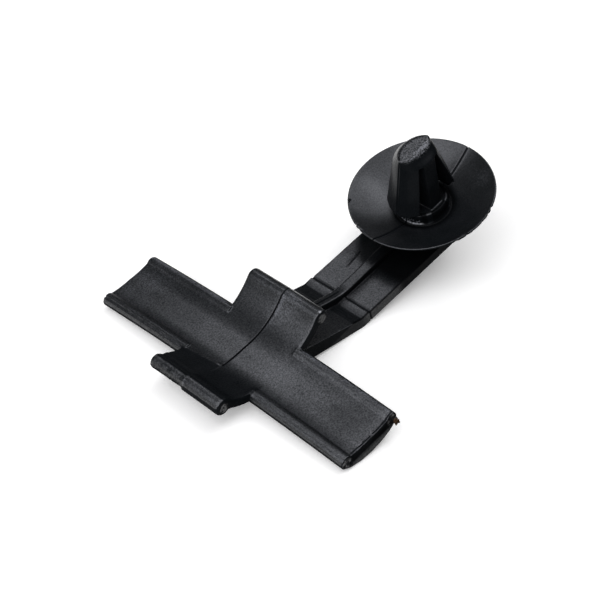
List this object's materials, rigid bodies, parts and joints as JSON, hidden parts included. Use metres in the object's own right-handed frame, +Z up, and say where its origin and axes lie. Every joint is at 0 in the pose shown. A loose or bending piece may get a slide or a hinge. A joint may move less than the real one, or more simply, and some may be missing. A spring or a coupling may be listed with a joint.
{
  "type": "standoff bundling clip",
  "caption": "One-piece moulded clip: a cross-shaped tray takes a taped wire bundle, and a cranked arm sets it off from a push-in pin with a dished washer.",
  "frame": {"origin": "on the surface the clip lies on, under the middle of its box", "axes": "+X from the tray to the pin, +Y along the wire bundle, +Z up from the surface it rests on"},
  "size_m": [0.0478, 0.039, 0.0178],
  "materials": {
    "black_nylon": "matte, finely spark-eroded mould grain"
  },
  "bodies": {
    "root": {"bundling_clip": "black_nylon"}
  },
  "joints": []
}
